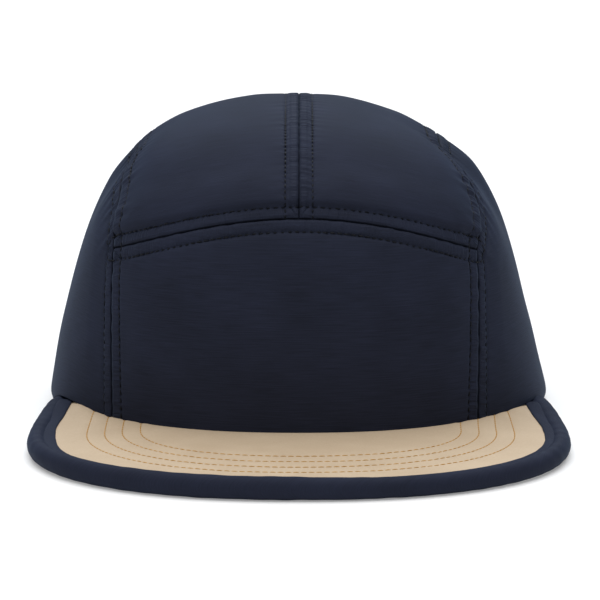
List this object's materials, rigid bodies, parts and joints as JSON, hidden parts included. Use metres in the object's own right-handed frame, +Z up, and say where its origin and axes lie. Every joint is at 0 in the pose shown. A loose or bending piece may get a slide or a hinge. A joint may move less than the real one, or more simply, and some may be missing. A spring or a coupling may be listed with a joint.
{
  "type": "five panel cap",
  "caption": "Low five panel cap with a flat peak, a padded roll sewn round the peak's edge and a strap with a slider across the arch at the back.",
  "frame": {"origin": "on the surface that the cap rests on, under the middle of its outline", "axes": "+Z up, the peak points to -Y, +X is on the right of a person who faces the front of the cap"},
  "size_m": [0.177, 0.2644, 0.1048],
  "materials": {
    "navy_cloth": "matte",
    "tan_cloth": "matte",
    "black_webbing": "matte",
    "black_plastic": "satin"
  },
  "bodies": {
    "root": {"front_panel": "navy_cloth", "top_panel_left": "navy_cloth", "top_panel_right": "navy_cloth", "side_panel_left": "navy_cloth", "side_panel_right": "navy_cloth", "sweatband": "navy_cloth", "peak_cover": "tan_cloth", "peak_board": "navy_cloth", "peak_roll": "navy_cloth", "back_strap": "black_webbing", "strap_slider": "black_plastic"}
  },
  "joints": []
}
